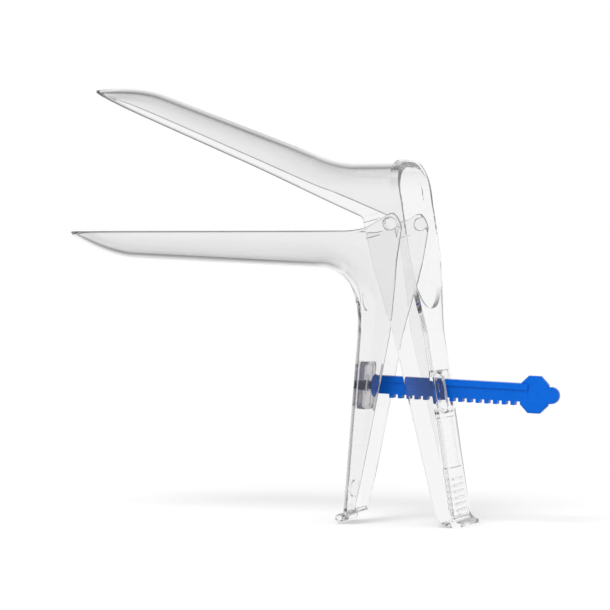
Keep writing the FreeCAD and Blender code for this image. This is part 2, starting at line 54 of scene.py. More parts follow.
# Sizes of the mouldings in mm and degrees. Places in the side view count from the hinge line.
REST_OPENING = 23.3
WALL = 1.7
RIM = 0.8
RIM_STEPS = 6
BEAK_RUN, BEAK_ROWS, BEAK_POWER, BEAK_END_DEPTH, BEAK_END_HALF = 26.0, 22, 1.75, 0.9, 1.6
BLADE_HALF, BLADE_TAPER, BLADE_FLAT = 13.5, 2.6, 0.6
LOWER_START, LOWER_DEPTH, LOWER_RIM = np.array([-102.6, -12.3]), 9.9, -2.4
TRUMPET_RADIUS = 17.0
EAR_HALF, EAR_TOP_LIMIT, EAR_REAR_LIMIT, EAR_TAPER_START, EAR_BEND = 17.5, 6.1, 5.9, 11.6, 0.6
FRONT_FACE, FRONT_LEAN, FRONT_HALF, FRONT_CORNER = np.array([-12.9, 0.0]), 4.8, 9.2, 2.0
FRONT_FOOT_DROP, FRONT_SOLE_SLOPE = 105.2, 20.0
SIDE_TAPER = 8.3 / 25.5
LONG_ARM = 60.0
SOCKET_SPAN = (50.1, 65.1)
DISC_LEVELS, DISC_RADIUS, DISC_HEIGHT = (-28.0, -94.7), 2.95, 0.3
UPPER_DEPTH = 9.1
HOOD_TOP, HOOD_RADIUS, HOOD_CORNER_DEPTH, HOOD_ROUND_END = 21.8, 45.0, 10.5, -12.0
BEAD_HEIGHT, BEAD_SIDE = 1.1, 0.45
REAR_HALF, REAR_CORNER, WALL_TAPER_SPAN, WALL_BEND = 20.0, 1.4, (13.0, 38.5), 0.8
WINDOW_END, WINDOW_MIDDLE, WINDOW_RADIUS, WINDOW_HALF = 22.0, 12.35, 18.15, 15.37
SLOT_SPAN, SLOT_HALF = (54.64, 65.68), 2.9
COLLAR_MIDDLE, COLLAR_REACH, COLLAR_HALF = 60.16, 7.82, 6.3
COLLAR_SPREAD, COLLAR_CORNER, COLLAR_HEIGHT = 0.7, 2.6, 1.6
RECESS_SPAN, RECESS_HALF, RECESS_DEPTH = (69.15, 87.45), 7.15, 0.5
RIB_START, RIB_PITCH, RIB_COUNT, RIB_HALF, RIB_HEIGHT = 91.0, 2.2, 6, 6.5, 0.4
HEEL, HEEL_RADIUS, FOOT_LEVEL, LIP_REACH = np.array([20.5, -100.0]), 7.0, -107.0, 23.9
STUD_HOLE_RADIUS, HOLE_ROWS, HINGE_ROW, HOLE_PATCH_HALF = 2.48, (3, 15), 9, 3.3
BAR_SLOPE, TRUNNION_DEPTH, TRUNNION_DROP = 2.4, 2.3, 57.6
TOOTH_START, TOOTH_PITCH, TOOTH_COUNT, TOOTH_DEPTH = 10.6, 3.2, 15, 1.35
KNOB_MIDDLE, KNOB_HALF_THICKNESS, KNOB_SIDES, NUB_PLACE, NUB_RADIUS = 62.95, 1.7, (5.05, 6.6, 8.75), 6.0, 3.0
# HOLE_ROWS and HINGE_ROW count the rows of a hinge wall's grid from the seam.
# The view: where the hinge line falls in the picture, and the soft lamp in metres.
PICTURE_SIDE, HINGE_PIXEL = 610, (405.9, 224.0)
LAMP_SIZE, LAMP_PLACE = 0.5, (-0.1, -0.75, 1.1)
FLOOR_REACH = 3.0


def smooth(value, start, end):
    """0 before start, 1 after end, with an easy change between."""
    share = np.clip((value - start) / (end - start), 0.0, 1.0)
    return share * share * (3.0 - 2.0 * share)


def soft_ramp(value, bend):
    """The value above zero, zero below it, with a round bend between."""
    return (value + np.sqrt(value * value + bend * bend)) / 2


def aim(angle):
    """Unit vectors of the side view, angles in degrees from +X towards +Z."""
    turn = np.radians(angle)
    return np.stack([np.cos(turn), np.sin(turn)], -1)


def opened(x, z):
    """A point of the upper valve with its blade closed, turned to the opening at rest."""
    turn = math.radians(REST_OPENING)
    return np.array([x * math.cos(turn) + z * math.sin(turn), z * math.cos(turn) - x * math.sin(turn)])


def crossing(first, first_aim, second, second_aim):
    """Where two lines of the side view meet."""
    gap = second - first
    facing = first_aim[0] * second_aim[1] - first_aim[1] * second_aim[0]
    return first + first_aim * ((gap[0] * second_aim[1] - gap[1] * second_aim[0]) / facing)


def ray_lengths(base, inward, outline):
    """Distance from each base along its inward aim to the first side of the outline that it meets."""
    a, b = outline[:-1], outline[1:]
    side = b - a
    gap = a[None] - base[:, None]
    facing = inward[:, None, 0] * side[None, :, 1] - inward[:, None, 1] * side[None, :, 0]
    facing = np.where(np.abs(facing) < 1e-12, 1e-12, facing)
    along = (gap[..., 0] * side[None, :, 1] - gap[..., 1] * side[None, :, 0]) / facing
    share = (gap[..., 0] * inward[:, None, 1] - gap[..., 1] * inward[:, None, 0]) / facing
    hit = (share >= -1e-6) & (share <= 1 + 1e-6) & (along > 0.01)
    return np.where(hit, along, np.inf).min(axis=1)


def rim_radius(length):
    """Rounding of a free rim, less where the section is very short."""
    return min(RIM, 0.3 * length)


def to_rim(length, count):
    """Places over a length, the last of them closing up towards the rim for its round edge."""
    radius = rim_radius(length)
    turn = np.linspace(0, np.pi / 2, RIM_STEPS + 1)[1:]
    return np.concatenate([np.linspace(0, length - radius, count - RIM_STEPS),
                           length - radius + radius * np.sin(turn)])


def drawn_in(place, length):
    """How far a wall's face stands back from its full thickness at a place near the rounded rim."""
    radius = rim_radius(length)
    reach = np.clip(place - (length - radius), 0, radius)
    return radius - np.sqrt(np.maximum(radius * radius - reach * reach, 0))


def trough_side(rows, wall, places):
    """Half of a trough's sections, from the middle out to the rim, one row per station.

    Each section is a flat, a quarter ellipse from the flat's end to the corner depth and a straight arm to
    the rim. Its points are spread over its arc length by the given places, which may differ by row.
    """
    sides, rises = [], []
    for k in range(len(rows["arm"])):
        arm = rows["arm"][k]
        floor = min(wall, arm - 0.05)
        depth = max(rows["depth"][k] - wall, 0.05)
        depth = min(depth, arm - floor)
        low = max(rows["low"][k] - wall, 0.1)
        high = max(rows["high"][k] - wall, 0.1)
        flat = min(rows["flat"][k], low * 0.5)
        turn = np.linspace(0, np.pi / 2, 60)
        leg = np.linspace(0, 1, 40)[1:] * (arm - floor - depth)
        nominal = max(rows["nominal"][k] - rows["depth"][k], 1e-6)
        y = np.concatenate([[0.0], flat + (low - flat) * np.sin(turn), low + (high - low) * leg / nominal])
        rise = np.concatenate([[0.0], depth * (1 - np.cos(turn)), depth + leg])
        length = np.concatenate([[0.0], np.cumsum(np.hypot(np.diff(y), np.diff(rise)))])
        at = places(k, length[-1])
        inset = drawn_in(at, length[-1]) * rows["round"][k] * (1 if wall == 0 else -1)
        sides.append(np.interp(at, length, y) - inset)
        rises.append(np.interp(at, length, rise) + floor)
    return np.array(sides), np.array(rises)


def in_space(points, y):
    """Points of the side view with their places across."""
    return np.stack([points[..., 0], y, points[..., 1]], -1)


def placed_grid(rows, sides, rises):
    """Both halves of the sections in space, near rim to far rim."""
    return mirrored(in_space(rows["base"][:, None] + rows["inward"][:, None] * rises[..., None], sides))


def mirrored(half):
    """A grid from its half with the middle line first."""
    return np.concatenate([half[:, :0:-1] * (1, -1, 1), half], axis=1)


def all_cells(grid):
    """Marks every cell of a grid as kept."""
    return np.ones((grid.shape[0] - 1, grid.shape[1] - 1), bool)


class Surface:
    """Vertices and faces gathered from grids, in mm with the hinge line through the origin."""

    def __init__(self):
        self.vertices, self.faces, self.count = [], [], 0

    def add(self, grid):
        """Adds the points of a grid and returns their numbers in the grid's layout."""
        flat = grid.reshape(-1, 3)
        numbers = np.arange(self.count, self.count + len(flat)).reshape(grid.shape[:-1])
        self.vertices.append(flat)
        self.count += len(flat)
        return numbers

    def quads(self, a, b, c, d):
        """Adds faces from four lists of point numbers."""
        self.faces.append(np.stack([a.ravel(), b.ravel(), c.ravel(), d.ravel()], -1))

    def skin(self, numbers, keep=None):
        """Fills the kept cells of a grid."""
        keep = all_cells(numbers) if keep is None else keep
        corners = (numbers[:-1, :-1], numbers[:-1, 1:], numbers[1:, 1:], numbers[1:, :-1])
        self.quads(*[part[keep] for part in corners])

    def strip(self, first, second):
        """Joins two lines of points."""
        self.quads(first[:-1], first[1:], second[1:], second[:-1])

    def shell(self, outer, inner, keep, patched=None, open_first=False, seam_rows=slice(0, 0)):
        """A closed wall between two grids of the same layout, without the cells that keep leaves out.

        Every edge between a kept cell and a left-out one, or the grid's end, gets a face across the wall.
        Patched cells are left for a finer filling, and the first row or the seam rows may stay open.
        """
        out, inn = self.add(outer), self.add(inner)
        shown = keep if patched is None else keep & ~patched
        self.skin(out, shown)
        self.skin(inn, shown)
        padded = np.pad(keep, 1)
        across = padded[:-1, 1:-1] != padded[1:, 1:-1]
        across[0] &= not open_first
        self.quads(*[part[across] for part in (out[:, :-1], out[:, 1:], inn[:, 1:], inn[:, :-1])])
        along = padded[1:-1, :-1] != padded[1:-1, 1:]
        along[seam_rows, 0] = False
        along[seam_rows, -1] = False
        self.quads(*[part[along] for part in (out[:-1], out[1:], inn[1:], inn[:-1])])
        return out, inn

    def build(self, name, sharp=38.0):
        """Welds equal points, turns all faces outwards and makes the object."""
        mesh = bpy.data.meshes.new(name)
        points = (np.concatenate(self.vertices) + HINGE) * MM
        mesh.from_pydata(points.tolist(), [], np.concatenate(self.faces).tolist())
        shape = bmesh.new()
        shape.from_mesh(mesh)
        bmesh.ops.remove_doubles(shape, verts=shape.verts, dist=2e-6)
        bmesh.ops.delete(shape, geom=[v for v in shape.verts if not v.link_faces], context="VERTS")
        bmesh.ops.recalc_face_normals(shape, faces=shape.faces)
        if shape.calc_volume(signed=True) < 0:
            bmesh.ops.reverse_faces(shape, faces=shape.faces)
        if any(len(e.link_faces) != 2 for e in shape.edges):
            raise RuntimeError(name + " is not closed")
        shape.to_mesh(mesh)
        shape.free()
        mesh.polygons.foreach_set("use_smooth", np.ones(len(mesh.polygons), bool))
        mesh.set_sharp_from_angle(angle=math.radians(sharp))
        piece = bpy.data.objects.new(name, mesh)
        bpy.context.scene.collection.objects.link(piece)
        return piece


def ear_half(x, z):
    """Half width of the lower valve at a place in its side view: blade, flare, ear, taper to the handle."""
    flare = BLADE_HALF + (EAR_HALF - BLADE_HALF) * smooth(x, -55.0, -15.0)
    taper = EAR_HALF - soft_ramp(-z - EAR_TAPER_START, EAR_BEND) * SIDE_TAPER
    narrow = flare - soft_ramp(flare - taper, EAR_BEND)
    return FRONT_HALF + soft_ramp(narrow - FRONT_HALF, EAR_BEND)


def stations(base, inward, low, flat, depth, nominal, high=None, rounded=1.0):
    """Rows of a trough from one value for all, or one for each: half widths at the corner's end and at the
    nominal height, half of the flat, corner depth, nominal height and share of the rim's rounding."""
    values = {"low": low, "high": low if high is None else high, "flat": flat, "depth": depth,
              "nominal": nominal, "round": rounded}
    rows = {key: np.broadcast_to(value, len(base)) for key, value in values.items()}
    return {"base": base, "inward": np.broadcast_to(inward, base.shape), **rows}


def beak_rows(start, rearward, inward, full_depth):
    """Stations of a blade's rounded point: depth and half width fall towards the tip."""
    share = np.sin(np.linspace(np.pi / 2, 0, BEAK_ROWS, endpoint=False))
    depth = BEAK_END_DEPTH + (full_depth - BEAK_END_DEPTH) * (1 - share ** BEAK_POWER)
    half = BEAK_END_HALF + (BLADE_HALF - BEAK_END_HALF) * np.sqrt(np.clip(1 - share ** 2, 0, 1))
    base = start - rearward * (BEAK_RUN * share)[:, None] + inward * (full_depth - depth)[:, None]
    return stations(base, inward, half, BLADE_FLAT, depth, depth + 4)


def join_rows(*parts):
    """The stations of several runs, one after another."""
    return {key: np.concatenate([part[key] for part in parts]) for key in parts[0]}


FRONT_DOWN = aim(-90 - FRONT_LEAN)
FRONT_TOE = FRONT_FACE + FRONT_DOWN * FRONT_FOOT_DROP
FRONT_REAR_EDGE, FRONT_REAR_AIM = np.array([4.7, 0.0]), aim(-101.6)


def lower_outline():
    """Rims of the lower valve in the side view: blade rim, curve over the ear, crown, foot's rear edge.

    The curve up to the crown is a cubic through its knots with a slope at each, the crown a quadratic arc.
    """
    knots = np.array([(-18, LOWER_RIM), (-9.9, -1.3), (-4.5, 1.5), (0, 4.1)])
    slopes = np.array([(8.0, 0), (6.8, 1.95), (4.95, 2.7), (4.4, 2.3)])
    t = np.linspace(0, 1, 13)[1:, None]
    curve = [knots[:1]]
    for k in range(3):
        curve.append((2 * t ** 3 - 3 * t ** 2 + 1) * knots[k] + (t ** 3 - 2 * t ** 2 + t) * slopes[k]
                     + (3 * t ** 2 - 2 * t ** 3) * knots[k + 1] + (t ** 3 - t ** 2) * slopes[k + 1])
    crown_end = np.array([3.65, -1.5])
    u = np.linspace(0, 1, 15)[1:, None]
    crown = (1 - u) ** 2 * knots[3] + 2 * u * (1 - u) * np.array([2.45, 3.45]) + u ** 2 * crown_end
    knee = crossing(crown_end, aim(-99.5), FRONT_REAR_EDGE, FRONT_REAR_AIM)
    foot = knee + FRONT_REAR_AIM * 130
    return np.concatenate([[(-200, LOWER_RIM)], *curve, crown, [knee], [foot]])


def lower_rows():
    """Stations of the lower trough: point, blade, round trumpet, straight handle."""
    up, blade_aim = aim(90.0), aim(-BLADE_TAPER)
    slope = math.tan(math.radians(BLADE_TAPER))
    beak = beak_rows(LOWER_START, aim(0.0), up, LOWER_DEPTH)
    corner = crossing(LOWER_START, blade_aim, FRONT_FACE, FRONT_DOWN)
    turn = 90 + FRONT_LEAN - BLADE_TAPER
    arc_start = corner - blade_aim * TRUMPET_RADIUS * math.tan(math.radians(turn / 2))
    centre = arc_start - aim(90 - BLADE_TAPER) * TRUMPET_RADIUS
    run = arc_start[0] - LOWER_START[0]
    x = LOWER_START[0] + run * np.linspace(0, 1, 56, endpoint=False)
    depth = LOWER_DEPTH + (x - LOWER_START[0]) * slope
    base = np.stack([x, LOWER_RIM - depth], -1)
    blade = stations(base, up, ear_half(x, 0 * x), BLADE_FLAT, depth, depth + 6)

    angle = np.linspace(BLADE_TAPER, 90 + FRONT_LEAN, 84)
    inward = aim(90 - angle)
    base = centre + inward * TRUMPET_RADIUS
    arc_depth = LOWER_DEPTH + run * slope
    depth = arc_depth + (FRONT_CORNER - arc_depth) * smooth(angle, 25, 90)
    towards = np.maximum(inward, 0.1)
    limits = (np.array([EAR_REAR_LIMIT, EAR_TOP_LIMIT]) - base) / towards
    arm = np.where(inward > 0.1, limits, LONG_ARM).min(axis=1)
    near, far = base + inward * depth[:, None], base + inward * arm[:, None]
    flat = BLADE_FLAT + (FRONT_HALF - FRONT_CORNER - BLADE_FLAT) * smooth(angle, 35, 90)
    trumpet = stations(base, inward, ear_half(*near.T), flat, depth, arm, high=ear_half(*far.T))

    drop = (base[-1] - FRONT_FACE) @ FRONT_DOWN
    features = np.concatenate([SOCKET_SPAN, [FRONT_FOOT_DROP], np.linspace(91.7, 97.9, 26)])
    drops = np.unique(np.round(np.concatenate([np.linspace(drop + 0.8, 104.4, 92), features]), 3))
    fade = 1 - smooth(drops, drop, 40)
    low = FRONT_HALF + (ear_half(*near[-1]) - FRONT_HALF) * fade
    high = FRONT_HALF + (ear_half(*far[-1]) - FRONT_HALF) * fade
    base = FRONT_FACE + FRONT_DOWN * drops[:, None]
    handle = stations(base, aim(-FRONT_LEAN), low, FRONT_HALF - FRONT_CORNER, FRONT_CORNER, 22.8, high=high)

    rows = join_rows(beak, blade, trumpet, handle)
    rows["drop"] = np.concatenate([np.full(len(rows["low"]) - len(drops), -1.0), drops])
    rows["arm"] = ray_lengths(rows["base"], rows["inward"], lower_outline())
    return rows


def lower_shell():
    """The lower valve's wall: trough sections from the blade's point round the trumpet to the foot."""
    rows = lower_rows()
    drop = rows["drop"]
    web = np.append(np.arange(13) * 0.55, FRONT_HALF - FRONT_CORNER)

    def places(k, length):
        even = to_rim(length, 50)
        fixed = np.concatenate([web, np.linspace(7.5, 10.4, 10), 11.0 + to_rim(max(length, 13.0) - 11.0, 26)])
        return even + (fixed - even) * smooth(drop[k], 38, 47)

    grids = []
    for wall in (0.0, WALL):
        sides, rises = trough_side(rows, wall, places)
        grid = placed_grid(rows, sides, rises)
        full_rises = np.concatenate([rises[:, :0:-1], rises], axis=1)
        foot_slope = math.tan(math.radians(FRONT_SOLE_SLOPE + FRONT_LEAN))
        lift = smooth(drop, 88, FRONT_FOOT_DROP)[:, None] * full_rises * foot_slope
        grid[..., [0, 2]] -= lift[..., None] * FRONT_DOWN
        grids.append(grid)
    outer, inner = grids
    for level in DISC_LEVELS:
        row = np.argmin(np.abs(rows["base"][:, 1] - level) + 100 * (rows["base"][:, 0] < -30))
        away = np.linalg.norm(outer - np.insert(rows["base"][row], 1, 0.0), axis=-1)
        height = DISC_HEIGHT * np.clip((DISC_RADIUS - away) / 0.3, 0, 1)[..., None]
        outer[..., [0, 2]] -= height * rows["inward"][:, None]
    keep = all_cells(outer)
    between = (drop[:-1] >= SOCKET_SPAN[0] - 1e-6) & (drop[1:] <= SOCKET_SPAN[1] + 1e-6)
    centre = outer.shape[1] // 2
    keep[between, centre - 8:centre + 8] = False
    surface = Surface()
    surface.shell(outer, inner, keep)
    return surface


REAR_FACE = np.array([5.4, 0.0])
REAR_LEAN = 8.6
SEAM = 15.0
CORNER = opened(-10.2, -2.0)
REAR_DOWN = aim(REAR_LEAN - 90)
SEAM_REAR = crossing(CORNER, aim(SEAM), REAR_FACE, REAR_DOWN)
HOOD_REAR = REAR_FACE[0] - HOOD_TOP * math.tan(math.radians(REAR_LEAN))
# Places across half of the rear face, of a width of 10, and along a hinge wall from the rear corner
WEB_Y = np.array([0, .6, 1.2, 1.8, 2.4, 2.9, 3.5, 4.1, 4.7, 5.0, 5.1, 5.7, 6.35, 6.5, 6.85, 7.15, 7.7, 8.3,
                  8.9, 9.5, 10.0])
EDGE_D = np.array([0, .44, .88, 1.32, 1.76, 2.2, 2.75, 3.3, 3.45])
EDGE_COUNT = 34


def edge_places(length):
    """Distances from the rear corner along a hinge wall, dense near the corner."""
    rest = to_rim(length - EDGE_D[-1], EDGE_COUNT - len(EDGE_D) + 1)
    return np.concatenate([EDGE_D, EDGE_D[-1] + rest[1:]])


def wall_half(drop):
    """Half width of the hinge walls and the rear handle, by the distance down the rear face."""
    first, last = (soft_ramp(drop - end, WALL_BEND) for end in WALL_TAPER_SPAN)
    return REAR_HALF - (first - last) * SIDE_TAPER


def hood_lean(x):
    """Lean of the hood's sections, upright where its round bend ends and along the rear face at its end."""
    return np.interp(x, [HOOD_ROUND_END, -6.0, HOOD_REAR], [0, REAR_LEAN / 2, REAR_LEAN])


def hood_rows(base, start, run, arc_start_x, arc_depth):
    """Sections of the upper trough behind its point, from where each one's outer middle lies."""
    x = base[:, 0]
    turned = smooth(x, arc_start_x - 12, -13.0)
    share = np.clip(np.hypot(*(base - start).T) / run, 0, 1)
    half = BLADE_HALF + 6.25 * smooth(x, -52.0, -12.0)
    depth = UPPER_DEPTH + (arc_depth - UPPER_DEPTH) * share
    depth = depth + (HOOD_CORNER_DEPTH - depth) * turned
    tilt = np.where(x > HOOD_ROUND_END, hood_lean(x), -REST_OPENING * (1 - turned))
    rounded = 1 - smooth(x, CORNER[0] - 1.5, CORNER[0] - 0.2)
    flat = BLADE_FLAT + 3.4 * turned
    return stations(base, aim(-90 + tilt), half, flat, depth, depth + 14, rounded=rounded)


def rear_point(drop):
    """A point of the rear face's line in the side view."""
    return REAR_FACE + np.multiply.outer(drop, REAR_DOWN)


def hood_grids():
    """Outer and inner grids of upper blade and hood; the last rows end on the seam's wall places."""
    start = opened(-102.4, 7.1)
    beak = beak_rows(start, aim(-REST_OPENING), aim(-90 - REST_OPENING), UPPER_DEPTH)
    turn = REST_OPENING - BLADE_TAPER
    blade_aim = aim(-turn)
    corner = crossing(start, blade_aim, np.array([0, HOOD_TOP]), aim(0.0))
    arc_start = corner - blade_aim * HOOD_RADIUS * math.tan(math.radians(turn / 2))
    centre = arc_start + aim(90 - turn) * HOOD_RADIUS
    run = np.hypot(*(arc_start - start))
    blade = start + blade_aim * (run * np.linspace(0, 1, 64, endpoint=False))[:, None]
    arc = centre + aim(-90 - turn * np.linspace(1, 0, 26)) * HOOD_RADIUS
    x = np.linspace(HOOD_ROUND_END, HOOD_REAR, 400)
    hits = [crossing(np.array([v, HOOD_TOP]), aim(-90 + hood_lean(v)), CORNER, aim(SEAM)) for v in x]
    reach = np.hypot(*(np.array(hits) - SEAM_REAR).T)
    wanted = edge_places(np.hypot(*(CORNER - SEAM_REAR)))[::-1]
    seam_x = np.interp(wanted, reach[::-1], x[::-1])
    top_x = np.concatenate([np.linspace(arc[-1, 0], seam_x[0], 9)[1:-1], seam_x])
    straight = np.stack([top_x, np.full(len(top_x), HOOD_TOP)], -1)
    arc_depth = UPPER_DEPTH + run * math.tan(math.radians(BLADE_TAPER))
    hood = hood_rows(np.concatenate([blade, arc, straight]), start, run, arc_start[0], arc_depth)
    rows = join_rows(beak, hood)
    outline = np.array([CORNER + aim(180 - REST_OPENING) * 200, CORNER, CORNER + aim(SEAM) * 40])
    rows["arm"] = ray_lengths(rows["base"], rows["inward"], outline)

    def places(k, length):
        return to_rim(length, 46)

    outer = placed_grid(rows, *trough_side(rows, 0.0, places))
    inner = placed_grid(rows, *trough_side(rows, WALL, places))
    bead = dict(rows)
    bead["base"] = rows["base"] - rows["inward"] * BEAD_HEIGHT
    bead["arm"] = rows["arm"] + BEAD_HEIGHT
    bead["low"] = bead["high"] = rows["low"] + BEAD_SIDE
    proud = placed_grid(bead, *trough_side(bead, 0.0, places))
    weight = smooth(outer[..., 2], 6.5, 11.0)
    weight[:len(weight) - 8] = 0.0
    outer = outer + (proud - outer) * weight[..., None]
    return outer, inner


def plate(y, drop, half, low, high, edge):
    """1 on a flat-topped rectangle of the rear face, 0 outside it, with a sloping edge."""
    inside = np.minimum(half - np.abs(y), np.minimum(drop - low, high - drop))
    return np.clip(inside / edge, 0, 1)


def collar(y, drop):
    """Height share of the slot's collar: a rounded plate, wider at its top, with a round-edged side."""
    half = COLLAR_HALF + COLLAR_SPREAD * (COLLAR_MIDDLE - drop) / COLLAR_REACH
    across = np.abs(y) - half + COLLAR_CORNER
    along = np.abs(drop - COLLAR_MIDDLE) - COLLAR_REACH + COLLAR_CORNER
    corner = np.hypot(np.maximum(across, 0), np.maximum(along, 0))
    outside = corner + np.minimum(np.maximum(across, along), 0)
    share = np.clip((COLLAR_CORNER - outside) / 0.7, 0, 1)
    return np.sqrt(1 - (1 - share) ** 2)


def handle_rows():
    """Where each row of the rear handle starts on the rear face and how it slopes, seam to foot."""
    heights = [4.3, 3.85, 3.4, 2.9, 2.7, 2.1, 1.4, .7, 0, -.7, -1.4, -2.1, -2.7, -2.9, -3.4, -4.1, -5, -6, -7]
    starts = [SEAM_REAR] + [crossing(aim(SEAM + 90) * v, aim(SEAM), REAR_FACE, REAR_DOWN) for v in heights]
    drops = (np.array(starts) - REAR_FACE) @ REAR_DOWN
    lower = np.concatenate([np.linspace(drops[-1] + 0.9, 21.2, 16), [21.95, WINDOW_END]])
    features = [52.34, 52.44, *SLOT_SPAN, 67.88, 67.98, RECESS_SPAN[0], 69.45, 87.15, RECESS_SPAN[1]]
    for k in range(RIB_COUNT):
        features += [RIB_START + RIB_PITCH * k + step for step in (0, .15, .45, .75, .9)]
    foot_levels = np.array([103.4, 104.2, 104.8, 105.1, 105.26, 105.3, 106.1, -FOOT_LEVEL])
    features += list(foot_levels / math.cos(math.radians(REAR_LEAN)))
    even = np.linspace(22.6, 103.4, 130)
    gap = np.abs(even[:, None] - np.array(features)[None]).min(axis=1)
    web = np.sort(np.concatenate([even[gap > 0.2], features]))
    drops = np.concatenate([drops, lower, web])
    slope = np.where(drops < 5.0, SEAM, SEAM + (REAR_LEAN - SEAM) * smooth(drops, 5.0, 20.0))
    slope = slope * (1 - smooth(drops, 70.0, 100.0))
    return drops, slope, len(starts) - 1 + len(lower)


def face_height(y, drop):
    """How far the rear handle's face stands out: the slot's collar, the recess and the round-topped ribs."""
    height = COLLAR_HEIGHT * collar(y, drop)
    height -= RECESS_DEPTH * plate(y, drop, RECESS_HALF, *RECESS_SPAN, 0.3)
    for rib in range(RIB_COUNT):
        start = RIB_START + RIB_PITCH * rib
        share = plate(y, drop, RIB_HALF, start, start + 0.9, 0.45)
        height += RIB_HEIGHT * np.sqrt(1 - (1 - share) ** 2)
    return height


def handle_grids():
    """Outer and inner grids of hinge walls and rear handle, and which cells are kept."""
    drops, slope, window_row = handle_rows()
    rear = rear_point(drops)
    heel = HEEL + aim(np.linspace(193.5, 270.0, 24)) * HEEL_RADIUS
    outline = np.concatenate([[CORNER, (-1.9, -36.7)], heel, [[40.0, FOOT_LEVEL]]])
    forward = aim(180 + slope)
    length = ray_lengths(rear, forward, outline)
    length[0] = np.hypot(*(CORNER - rear[0]))
    length[-1] = rear[-1, 0] - 20.52
    normal = aim(REAR_LEAN)
    z = rear[:, 1]
    lip_share = np.clip((-103.4 - z) / 1.9, 0, 1)
    lip = (LIP_REACH - rear[:, 0]) * (1 - np.sqrt(1 - lip_share ** 2))
    radius = REAR_CORNER * smooth(drops, 20.0, 36.0) * (1 - 0.6 * smooth(-z, 100.0, 104.0))
    half_at = wall_half(drops)
    behind_hood = np.arange(len(drops)) < window_row
    depth_in = np.where(behind_hood, 0.0, WALL / np.cos(np.radians(REAR_LEAN - slope)))
    # The window's lower edge is an arc, which fades out down the face
    arc = np.sqrt(WINDOW_RADIUS ** 2 - (WEB_Y / 10.0 * WINDOW_HALF) ** 2) + WINDOW_MIDDLE - WINDOW_END

    outer, inner = [], []
    for k in range(len(drops)):
        y = WEB_Y * (half_at[k] - WALL) / 10.0
        shifted = drops[k] + arc * (1 - smooth(drops[k], WINDOW_END, 46.0)) * (k >= window_row)
        web = rear_point(shifted) + np.array([lip[k], 0.0]) + normal * face_height(y, shifted)[:, None]
        bend = radius[k] * math.pi / 2
        path = length[k] + lip[k] - radius[k] + bend
        d = edge_places(path)
        turn = np.clip(d / max(bend, 1e-9), 0, 1) * math.pi / 2
        on_arc = d < bend
        back = np.where(on_arc, radius[k] * (1 - np.cos(turn)), radius[k] + d - bend)
        wall = rear[k] + np.array([lip[k], 0.0]) + forward[k] * back[:, None]
        wall_drop = (wall - REAR_FACE) @ REAR_DOWN
        rim = drawn_in(d - EDGE_D[-1], path - EDGE_D[-1]) * smooth(drops[k] - drops[0], 0.1, 1.0)
        wall_y = np.where(on_arc, half_at[k] - radius[k] * (1 - np.sin(turn)), wall_half(wall_drop)) - rim
        outer.append(in_space(np.concatenate([web, wall]), np.concatenate([y, wall_y])))
        inside = rear_point(shifted) + forward[k] * depth_in[k]
        d_in = depth_in[k] + d * (length[k] - depth_in[k]) / path
        wall = rear[k] + forward[k] * d_in[:, None]
        wall_y = wall_half((wall - REAR_FACE) @ REAR_DOWN) - WALL
        wall_y[0] = y[-1] if k >= window_row else wall_y[0]
        along = -(wall @ aim(SEAM))
        across = np.abs(wall @ aim(SEAM + 90))
        groove = 0.9 * np.clip((along - 2.4) / 10.8, 0, 1) * np.clip((2.9 - across) / 0.2, 0, 1)
        wall_y = wall_y + np.where(groove > 0.05, groove, rim)
        inner.append(in_space(np.concatenate([inside, wall]), np.concatenate([y, wall_y])))
    outer, inner = np.array(outer), np.array(inner)
    keep = all_cells(outer)
    keep[:window_row, :len(WEB_Y) - 1] = False
    slot = (drops[:-1] >= SLOT_SPAN[0] - 1e-6) & (drops[1:] <= SLOT_SPAN[1] + 1e-6)
    keep[np.ix_(slot, WEB_Y[1:] <= SLOT_HALF + 1e-6)] = False
    return mirrored(outer), mirrored(inner), np.concatenate([keep[:, ::-1], keep], axis=1)


def hole_patch(surface, outer, inner, rows, cols, side):
    """Fills a left-out block of a wall with rings that end on a round hole about the hinge line."""
    (top, bottom), (left, right) = rows, cols
    ring = [(top, c) for c in range(left, right)] + [(r, right) for r in range(top, bottom)]
    ring += [(bottom, c) for c in range(right, left, -1)] + [(r, left) for r in range(bottom, top, -1)]
    ring = np.array(ring + ring[:1]).T
    circles = []
    for grid, level in ((outer, REAR_HALF), (inner, REAR_HALF - WALL)):
        edge = grid[ring[0], ring[1]]
        turn = np.arctan2(edge[:, 2], edge[:, 0])
        circle = np.insert(STUD_HOLE_RADIUS * aim(np.degrees(turn)), 1, side * level, axis=1)
        share = np.linspace(0, 1, 5)[:, None, None]
        fill = surface.add(edge[None] * (1 - share) + circle[None] * share)
        surface.skin(fill)
        circles.append(fill[-1])
    surface.strip(*circles)


